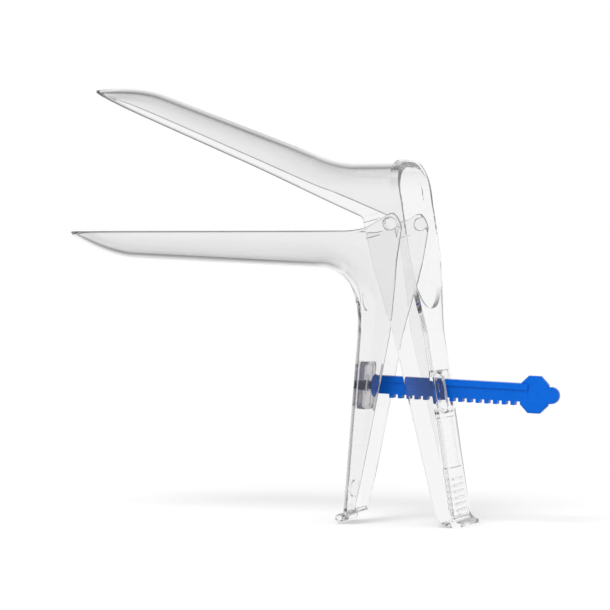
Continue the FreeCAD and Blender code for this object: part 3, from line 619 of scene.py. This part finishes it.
def upper_shell():
    """The upper valve's wall: blade and hood, hinge walls, rear handle with window, slot, recess and ribs."""
    outer, inner, keep = handle_grids()
    hood_out, hood_in = hood_grids()
    surface = Surface()
    middle = outer.shape[1] // 2
    web_end = len(WEB_Y) - 1
    patched = np.zeros_like(keep)
    blocks = []
    for side in (-1, 1):
        x = outer[HINGE_ROW, middle + side * (web_end + 1)::side, 0]
        ends = [int(np.argmin(np.abs(x - end))) for end in (HOLE_PATCH_HALF, -HOLE_PATCH_HALF)]
        cols = sorted(middle + side * (web_end + 1 + end) for end in ends)
        blocks.append((side, cols))
        patched[slice(*HOLE_ROWS), slice(*cols)] = True
    out, inn = surface.shell(outer, inner, keep, patched=patched, open_first=True)
    for side, cols in blocks:
        hole_patch(surface, outer, inner, HOLE_ROWS, cols, side)
    count = EDGE_COUNT
    first = len(hood_out) - count
    hood_o, hood_i = surface.shell(hood_out, hood_in, all_cells(hood_out), seam_rows=slice(first, None))
    for side, border in ((-1, 0), (1, -1)):
        wall_cols = middle + side * (web_end + np.arange(count, 0, -1))
        surface.strip(hood_o[first:, border], out[0, wall_cols])
        surface.strip(hood_i[first:, border], inn[0, wall_cols])
        for k, col in ((first, middle + side * (web_end + count)), (-1, middle + side * (web_end + 1))):
            surface.quads(*[np.array([v]) for v in (hood_o[k, border], out[0, col],
                                                    out[0, middle + side * web_end] if k < 0 else inn[0, col],
                                                    hood_i[k, border])])
    return surface


def turned(profile, count=72):
    """A grid turned about the cross line from its radius and place along the line."""
    turn = np.linspace(0, 2 * np.pi, count + 1)
    profile = np.array(profile)
    radius, y = profile[:, :1], profile[:, 1:]
    return np.stack([radius * np.cos(turn), y + 0 * turn, radius * np.sin(turn)], -1)


def carried(outline, half_width, bevel=0.25):
    """A side outline carried across the width, its two ends drawn in by a small round edge."""
    outline = np.array(outline)
    outline = np.concatenate([outline, outline[:1]])
    middle = outline[:-1].mean(axis=0)
    reach = np.hypot(*(outline - middle).T).max()
    steps = [(0.0, half_width), (1 - bevel / reach, half_width),
             (1 - 0.3 * bevel / reach, half_width - 0.3 * bevel), (1.0, half_width - bevel)]
    steps = steps + [(share, -y) for share, y in reversed(steps)]
    rings = [np.insert(middle + (outline - middle) * share, 1, y, axis=1) for share, y in steps]
    surface = Surface()
    surface.skin(surface.add(np.array(rings)))
    return surface


def stud_form(side):
    """One hinge stud, from the ear's face to just short of the upper valve's outside."""
    profile = [(0, 17.52), (2.4, 17.52), (2.4, 19.5), (2.34, 19.66), (2.22, 19.78), (2.05, 19.85), (0, 19.85)]
    surface = Surface()
    surface.skin(surface.add(turned([(r, side * y) for r, y in profile])))
    return surface


def front_lip():
    """The roll along the toe of the front handle."""
    turn = np.linspace(0, 360, 40, endpoint=False)
    return carried(FRONT_TOE + [-0.6, 0.0] + 1.5 * aim(turn), FRONT_HALF, bevel=0.4)


def front_sole():
    """The plate that closes the foot of the front handle between its walls."""
    along, up = aim(FRONT_SOLE_SLOPE), aim(90 + FRONT_SOLE_SLOPE)
    start = FRONT_TOE + along * 1.85
    end = crossing(FRONT_REAR_EDGE, FRONT_REAR_AIM, FRONT_TOE, along) - along * 0.1
    low, high = start + up * 0.02, start + up * 1.6
    return carried([low, end + up * 0.02, end + up * 1.6, high], 7.48)


def rear_sole():
    """The plate that closes the foot of the rear handle between its walls."""
    bend = HEEL + (HEEL_RADIUS - 0.02) * aim(np.linspace(229.5, 266.0, 9))
    return carried(np.concatenate([bend, [(19.8, -106.98), (19.6, -105.3)]]), 9.98)


def bar_frame(grid):
    """A grid of the lock bar's own lines, X along the bar from its trunnion, turned to its place at rest."""
    x, z = FRONT_FACE + aim(-FRONT_LEAN) * TRUNNION_DEPTH + FRONT_DOWN * TRUNNION_DROP
    slope = math.radians(BAR_SLOPE)
    along = grid[..., 0] * math.cos(slope) + grid[..., 2] * math.sin(slope) + x
    rise = grid[..., 2] * math.cos(slope) - grid[..., 0] * math.sin(slope) + z
    return np.stack([along, grid[..., 1], rise], -1)


def rail_grid():
    """T-shaped section carried along the bar; its lower edge steps down and up for the teeth."""
    low = -2.7
    step = [(0.85, low), (0.8, low - 0.15), (0.72, low - TOOTH_DEPTH + 0.1), (0.6, low - TOOTH_DEPTH)]
    tooth = [(-shift, z) for shift, z in step] + step[::-1]
    stops = [(4.3, low), (9.4, low)]
    for k in range(TOOTH_COUNT):
        stops += [(TOOTH_START + TOOTH_PITCH * k + shift, z) for shift, z in tooth]
    places, lows = np.array(stops + [(60.8, low)]).T
    side = [(0, 3.75), (2.2, 3.75), (2.4, 3.55), (2.4, 1.6), (2.25, 1.45), (1.9, 1.42), (1.88, 1.2)]
    half = np.array(side + [(1.7, 0.0), (1.62, 0.12), (1.5, 0.0), (0, 0.0)])
    ring = np.concatenate([half, half[-2:0:-1] * (-1, 1), half[:1]])
    below = np.arange(len(half)) >= len(side)
    foot = np.concatenate([below, below[-2:0:-1], [False]])
    z = np.where(foot[None], lows[:, None] + ring[None, :, 1], ring[None, :, 1])
    x, y = np.broadcast_arrays(places[:, None], ring[None, :, 0])
    rings = np.stack([x, y, z], -1)
    caps = [np.broadcast_to(rings[k].mean(axis=0), rings[k].shape)[None] for k in (0, -1)]
    return np.concatenate([caps[0], rings, caps[1]])


def knob_grid():
    """Octagon with a round nub: its rim's distance from the middle by the angle, drawn in at both faces."""
    turn = np.linspace(0, 2 * np.pi, 241)
    c, s = np.abs(np.cos(turn)), np.abs(np.sin(turn))
    end, edge, slant = KNOB_SIDES
    sides = np.minimum(end / np.maximum(c, 1e-9), edge / np.maximum(s, 1e-9))
    octagon = np.minimum(sides, slant / (c + s))
    reach = NUB_PLACE ** 2 * c ** 2 - (NUB_PLACE ** 2 - NUB_RADIUS ** 2)
    nub = np.where((reach > 0) & (np.cos(turn) > 0), NUB_PLACE * c + np.sqrt(np.maximum(reach, 0)), 0)
    rim = np.maximum(octagon, nub)
    face = KNOB_HALF_THICKNESS
    steps = [(1.0, face), (0.7, face), (0.45, 1.64), (0.2, 1.48), (0.06, 1.2), (0.0, 0.95)]
    steps += [(inset, -y) for inset, y in reversed(steps)]
    rings = []
    for inset, y in [(rim, face), *steps, (rim, -face)]:
        reach = rim - inset
        rings.append(np.stack([KNOB_MIDDLE + reach * np.cos(turn), 0 * turn + y, reach * np.sin(turn)], -1))
    return np.array(rings)


def collar_grid():
    """Stub, lens-shaped collar and neck turned about the bar's own line, from radius and place along it."""
    return turned([(0, 0.3), (1.5, 0.3), (1.5, 3.2), (2.4, 3.35), (3.5, 3.55), (4.0, 3.85), (4.1, 4.1),
                   (4.0, 4.4), (3.4, 4.75), (2.2, 5.0), (0, 5.0)])[..., [1, 0, 2]]


def trunnion_grid():
    """The cross pin at the bar's root, turned about its own line."""
    return turned([(0, -3.0), (1.5, -3.0), (1.7, -2.8), (1.7, 2.8), (1.5, 3.0), (0, 3.0)], 48)


def bar_form():
    """The whole lock bar: trunnion, stub with collar, rail with teeth, knob."""
    surface = Surface()
    for grid in (trunnion_grid(), collar_grid(), rail_grid(), knob_grid()):
        surface.skin(surface.add(bar_frame(grid)))
    return surface


def new_node(tree, kind, operation=None, **values):
    """A new shader node with plain values on its sockets, named with underscores for spaces."""
    node = tree.nodes.new("ShaderNode" + kind)
    if operation:
        node.operation = operation
    for name, value in values.items():
        node.inputs[name.replace("_", " ")].default_value = value
    return node


def wire(tree, *wires):
    """Joins nodes, each wire given as a node, its output, the next node and its input."""
    for source, leaving, target, entering in wires:
        tree.links.new(source.outputs[leaving], target.inputs[entering])


def new_material(name):
    """An empty node material with its output node."""
    material = bpy.data.materials.new(name)
    material.use_nodes = True
    tree = material.node_tree
    tree.nodes.clear()
    return material, tree, new_node(tree, "OutputMaterial")


def clear_plastic(name, tint, haze):
    """Clear moulded plastic: refraction with a faint tint and a very slight flow-line unevenness."""
    material, tree, output = new_material(name)
    shader = new_node(tree, "BsdfPrincipled", Base_Color=(*tint, 1.0), Roughness=haze, IOR=1.57,
                      Transmission_Weight=1.0)
    place = new_node(tree, "TexCoord")
    waves = new_node(tree, "TexNoise", Scale=55.0, Detail=1.0, Roughness=0.4)
    bump = new_node(tree, "Bump", Strength=0.06, Distance=0.0004)
    wire(tree, (place, "Object", waves, "Vector"), (waves, "Fac", bump, "Height"),
         (bump, "Normal", shader, "Normal"), (shader, "BSDF", output, "Surface"))
    return material


def blue_plastic(name, colour):
    """Opaque glossy blue plastic with a faint mottle in its colour and sheen."""
    material, tree, output = new_material(name)
    shader = new_node(tree, "BsdfPrincipled", IOR=1.5, Specular_IOR_Level=0.12)
    place = new_node(tree, "TexCoord")
    mottle = new_node(tree, "TexNoise", Scale=240.0, Detail=2.0)
    ramp = new_node(tree, "Mix")
    ramp.data_type = "RGBA"
    for end, strength in (("A", 0.92), ("B", 1.08)):
        ramp.inputs[end].default_value = (*[min(1.0, c * strength) for c in colour], 1.0)
    spread = new_node(tree, "MapRange", To_Min=0.2, To_Max=0.34)
    wire(tree, (place, "Object", mottle, "Vector"), (mottle, "Fac", ramp, "Factor"),
         (mottle, "Fac", spread, "Value"), (ramp, "Result", shader, "Base Color"),
         (spread, "Result", shader, "Roughness"), (shader, "BSDF", output, "Surface"))
    return material


def room_level(tree, direction, facing, studio):
    """Brightness of the room along a direction, or against it where facing is -1.

    It is white straight ahead of the camera, dark at the sides, greyer behind the camera and dim far up or
    down, with easy changes between, so that clear walls get dark edges as on a light table.
    """
    turn = new_node(tree, "VectorTransform")
    turn.vector_type, turn.convert_from, turn.convert_to = "VECTOR", "WORLD", "CAMERA"
    parts = new_node(tree, "SeparateXYZ")
    across = new_node(tree, "MapRange", From_Min=-facing, From_Max=facing)
    around = new_node(tree, "ValToRGB")
    ramp = around.color_ramp
    ramp.interpolation = "EASE"
    ramp.elements[0].color = (studio.front,) * 3 + (1.0,)
    ramp.elements[1].position = 0.8
    for place, tone in ((0.25, studio.front), (0.5, studio.side)):
        ramp.elements.new(place).color = (tone,) * 3 + (1.0,)
    rise = new_node(tree, "Math", "ABSOLUTE")
    steep = new_node(tree, "MapRange", From_Min=0.14, From_Max=0.78, To_Min=1.0, To_Max=studio.steep)
    steep.interpolation_type = "SMOOTHSTEP"
    darker = new_node(tree, "Math", "MINIMUM")
    tree.links.new(direction, turn.inputs[0])
    wire(tree, (turn, 0, parts, 0), (parts, "Z", across, "Value"), (across, "Result", around, "Fac"),
         (parts, "Y", rise, 0), (rise, "Value", steep, "Value"), (around, "Color", darker, 0),
         (steep, "Result", darker, 1))
    return darker


def bounced_share(tree, path):
    """1 for rays that come off or through a shiny or clear surface, 0 for others."""
    either = new_node(tree, "Math", "MAXIMUM")
    wire(tree, (path, "Is Glossy Ray", either, 0), (path, "Is Transmission Ray", either, 1))
    return either


def studio_world(studio):
    """A white backdrop wherever the camera looks, soft light from all round, and the room in reflections."""
    world = bpy.data.worlds.new("studio")
    world.use_nodes = True
    tree = world.node_tree
    background = tree.nodes["Background"]
    background.inputs["Color"].default_value = (1, 1, 1, 1)
    place = new_node(tree, "TexCoord")
    path = new_node(tree, "LightPath")
    plain = new_node(tree, "Mix", A=studio.dome, B=1.0)
    seen = new_node(tree, "Mix")
    room = room_level(tree, place.outputs["Generated"], 1.0, studio)
    wire(tree, (path, "Is Camera Ray", plain, "Factor"), (bounced_share(tree, path), "Value", seen, "Factor"),
         (plain, "Result", seen, "A"), (room, "Value", seen, "B"), (seen, "Result", background, "Strength"))
    return world


def floor_paper(studio):
    """White paper, which mirrored and refracted rays see at the room's brightness.

    The camera sees plain white in half of it near the object and in all of it farther off, so that the
    object's shadow stays faint.
    """
    material, tree, output = new_material("floor")
    path = new_node(tree, "LightPath")
    place = new_node(tree, "NewGeometry")
    paper = new_node(tree, "BsdfDiffuse", Color=(1, 1, 1, 1), Roughness=0.5)
    glow = new_node(tree, "Emission")
    level = new_node(tree, "Mix", A=1.0)
    far = new_node(tree, "VectorMath", "LENGTH")
    fade = new_node(tree, "MapRange", From_Min=0.15, From_Max=0.5, To_Min=0.5, To_Max=1.0)
    fade.interpolation_type = "SMOOTHSTEP"
    half = new_node(tree, "Math", "MULTIPLY")
    share = new_node(tree, "Math", "MAXIMUM")
    blend = new_node(tree, "MixShader")
    bounced = bounced_share(tree, path)
    room = room_level(tree, place.outputs["Incoming"], -1.0, studio)
    wire(tree, (place, "Position", far, 0), (far, "Value", fade, "Value"), (path, "Is Camera Ray", half, 0),
         (fade, "Result", half, 1), (bounced, "Value", share, 0), (half, "Value", share, 1),
         (bounced, "Value", level, "Factor"), (room, "Value", level, "B"),
         (level, "Result", glow, "Strength"), (share, "Value", blend, "Fac"), (paper, "BSDF", blend, 1),
         (glow, "Emission", blend, 2), (blend, "Shader", output, "Surface"))
    return material


def paint(piece, material):
    """Puts one material on a piece."""
    piece.data.materials.clear()
    piece.data.materials.append(material)


class SpeculumLooks(bpy.types.PropertyGroup):
    """Colours and finish of the speculum."""

    haze: FloatProperty(
        name="Haze", description="Surface roughness of the clear plastic", default=0.02, min=0.0, max=0.3)
    clear_tint: FloatVectorProperty(
        name="Clear tint", description="Tint of the clear plastic", default=(0.965,) * 3, subtype="COLOR")
    smoke_tint: FloatVectorProperty(
        name="Smoke tint", description="Tint of the socket", default=(0.55, 0.53, 0.56), subtype="COLOR")
    blue: FloatVectorProperty(
        name="Blue", description="Colour of the lock bar", default=(0.0, 0.128, 0.66), subtype="COLOR")


class SpeculumStudio(bpy.types.PropertyGroup):
    """Camera and light of the studio."""

    azimuth: FloatProperty(
        name="Azimuth", description="Camera's turn from the side view, in degrees", default=17.0)
    elevation: FloatProperty(
        name="Elevation", description="Camera's height above level, in degrees", default=-0.5)
    distance: FloatProperty(
        name="Distance", description="Camera to hinge", default=1.05135, unit="LENGTH")
    front: FloatProperty(
        name="Front", description="Tone of the room behind the camera", default=0.45, min=0.0, max=1.0)
    side: FloatProperty(
        name="Side", description="Tone of the room at both sides", default=0.08, min=0.0, max=1.0)
    steep: FloatProperty(
        name="Steep", description="Tone of the room far up and down", default=0.2, min=0.0, max=1.0)
    dome: FloatProperty(
        name="Dome", description="Strength of the light from all round", default=0.7, min=0.0, max=1.0)
    lamp: FloatProperty(
        name="Lamp", description="Power of the soft lamp in watts", default=8.0, min=0.0)
    lens: FloatProperty(
        name="Lens", description="Focal length in mm on a 36 mm sensor", default=173.7)


class SPECULUM_OT_finish(bpy.types.Operator):
    """Paints the pieces that come from the CAD frame"""

    bl_idname = "speculum.finish_nodes"
    bl_label = "Paint CAD pieces"

    def execute(self, context):
        looks = context.scene.speculum_looks
        clear = clear_plastic("clear_moulding", looks.clear_tint, looks.haze)
        smoke = clear_plastic("smoke_moulding", looks.smoke_tint, looks.haze)
        blue = blue_plastic("blue_moulding", looks.blue)
        for name, material in (("lower_valve", clear), ("upper_valve", clear), ("bar_socket", smoke),
                               ("ratchet_bar", blue)):
            paint(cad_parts[name], material)
        return {"FINISHED"}


class SPECULUM_OT_valves(bpy.types.Operator):
    """Builds the smooth shells of both valves"""

    bl_idname = "speculum.valves"
    bl_label = "Build valve shells"

    def execute(self, context):
        clear = bpy.data.materials["clear_moulding"]
        for node, body, make in (("lower_valve", "lower_body", lower_shell),
                                 ("upper_valve", "upper_body", upper_shell)):
            piece = make().build(node + "_shell")
            paint(piece, clear)
            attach(piece, body)
            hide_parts(node)
        return {"FINISHED"}


class SPECULUM_OT_bar(bpy.types.Operator):
    """Builds the toothed lock bar"""

    bl_idname = "speculum.bar"
    bl_label = "Build lock bar"

    def execute(self, context):
        piece = bar_form().build("lock_bar", sharp=30.0)
        paint(piece, bpy.data.materials["blue_moulding"])
        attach(piece, "bar_body")
        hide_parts("ratchet_bar")
        return {"FINISHED"}


class SPECULUM_OT_fittings(bpy.types.Operator):
    """Builds the hinge studs, the lip and the soles of both feet"""

    bl_idname = "speculum.fittings"
    bl_label = "Build studs and feet"

    def execute(self, context):
        clear = bpy.data.materials["clear_moulding"]
        forms = [("near_stud", "lower_body", stud_form(-1)), ("far_stud", "lower_body", stud_form(1)),
                 ("front_lip", "lower_body", front_lip()), ("front_sole", "lower_body", front_sole()),
                 ("rear_sole", "upper_body", rear_sole())]
        for name, body, form in forms:
            piece = form.build(name)
            paint(piece, clear)
            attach(piece, body)
        return {"FINISHED"}


class SPECULUM_OT_studio(bpy.types.Operator):
    """Builds the floor, the light and the camera"""

    bl_idname = "speculum.studio"
    bl_label = "Build studio"

    def execute(self, context):
        studio = context.scene.speculum_studio
        scene = context.scene
        scene.view_settings.view_transform = "Standard"
        scene.cycles.max_bounces = 32
        scene.cycles.glossy_bounces = 24
        scene.cycles.transmission_bounces = 24
        mesh = bpy.data.meshes.new("floor")
        corners = [(x * FLOOR_REACH, y * FLOOR_REACH, 0) for x, y in ((-1, -1), (1, -1), (1, 1), (-1, 1))]
        mesh.from_pydata(corners, [], [(0, 1, 2, 3)])
        floor = bpy.data.objects.new("floor", mesh)
        scene.collection.objects.link(floor)
        paint(floor, floor_paper(studio))

        scene.world = studio_world(studio)
        lamp = bpy.data.objects.new("lamp", bpy.data.lights.new("lamp", "AREA"))
        lamp.data.size, lamp.data.energy = LAMP_SIZE, studio.lamp
        lamp.location = LAMP_PLACE
        lamp.rotation_mode = "QUATERNION"
        lamp.rotation_quaternion = (Vector(HINGE * MM) - lamp.location).to_track_quat("-Z", "Y")
        lamp.visible_glossy = lamp.visible_transmission = False
        scene.collection.objects.link(lamp)
        camera = bpy.data.objects.new("camera", bpy.data.cameras.new("camera"))
        scene.collection.objects.link(camera)
        scene.camera = camera
        turn, rise = math.radians(studio.azimuth), math.radians(studio.elevation)
        back = np.array([math.sin(turn) * math.cos(rise), -math.cos(turn) * math.cos(rise), math.sin(rise)])
        camera.location = HINGE * MM + back * studio.distance
        camera.rotation_mode = "QUATERNION"
        camera.rotation_quaternion = Vector(-back).to_track_quat("-Z", "Y")
        camera.data.lens = studio.lens
        camera.data.sensor_width = 36.0
        camera.data.shift_x = (PICTURE_SIDE / 2 - HINGE_PIXEL[0]) / PICTURE_SIDE
        camera.data.shift_y = (HINGE_PIXEL[1] - PICTURE_SIDE / 2) / PICTURE_SIDE
        return {"FINISHED"}


class SPECULUM_PT_panel(bpy.types.Panel):
    """Sidebar panel with the speculum's settings and steps"""

    bl_idname = "SPECULUM_PT_panel"
    bl_label = "Speculum"
    bl_space_type = "VIEW_3D"
    bl_region_type = "UI"
    bl_category = "Speculum"

    def draw(self, context):
        for group in (context.scene.speculum_looks, context.scene.speculum_studio):
            for name in group.__annotations__:
                self.layout.prop(group, name)
        for operator in OPERATORS:
            self.layout.operator(operator.bl_idname)


GROUPS = (SpeculumLooks, SpeculumStudio)
OPERATORS = (SPECULUM_OT_finish, SPECULUM_OT_valves, SPECULUM_OT_fittings, SPECULUM_OT_bar,
             SPECULUM_OT_studio)


def register():
    for item in GROUPS + OPERATORS + (SPECULUM_PT_panel,):
        bpy.utils.register_class(item)
    bpy.types.Scene.speculum_looks = PointerProperty(type=SpeculumLooks)
    bpy.types.Scene.speculum_studio = PointerProperty(type=SpeculumStudio)


def unregister():
    del bpy.types.Scene.speculum_looks
    del bpy.types.Scene.speculum_studio
    for item in reversed(GROUPS + OPERATORS + (SPECULUM_PT_panel,)):
        bpy.utils.unregister_class(item)


def main():
    """Registers the add-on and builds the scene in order."""
    register()
    bpy.ops.speculum.finish_nodes()
    bpy.ops.speculum.valves()
    bpy.ops.speculum.fittings()
    bpy.ops.speculum.bar()
    bpy.ops.speculum.studio()


if __name__ == "__main__":
    main()
